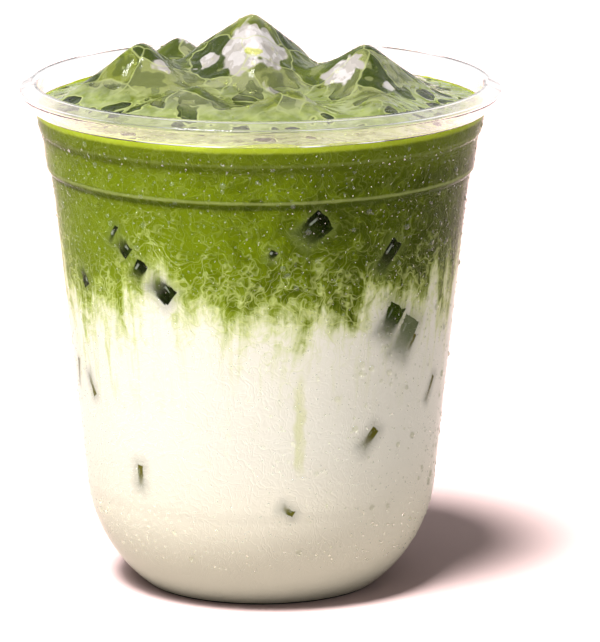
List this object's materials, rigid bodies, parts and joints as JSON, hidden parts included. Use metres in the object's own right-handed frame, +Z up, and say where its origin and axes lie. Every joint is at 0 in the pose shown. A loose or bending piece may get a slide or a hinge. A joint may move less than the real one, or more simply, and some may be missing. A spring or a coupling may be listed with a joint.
{
  "type": "iced matcha latte",
  "caption": "Iced matcha latte: green matcha layered over white milk in a clear cup with a rolled lip and a round bottom, heaped with ice cubes.",
  "frame": {"origin": "on the surface that the cup stands on, at the cup's axis", "axes": "+Z up along the cup's axis; -Y towards the side with the long tongue of matcha, +X to the right of it"},
  "size_m": [0.098, 0.098, 0.1166],
  "materials": {
    "clear_plastic": "clear thin plastic, glossy, with fine condensation",
    "milk": "opaque cream-white liquid",
    "matcha": "opaque bright green liquid, mottled, with a milky green surface",
    "ice": "wet clear ice under a thin green film"
  },
  "bodies": {
    "root": {"cup": "clear_plastic", "milk": "milk", "matcha": "matcha", "ice_peak": "ice", "ice_left": "ice", "ice_right": "ice", "ice_front_left": "ice", "ice_front": "ice", "ice_front_right": "ice", "ice_back_left": "ice", "ice_back": "ice", "ice_back_right": "ice"}
  },
  "joints": []
}
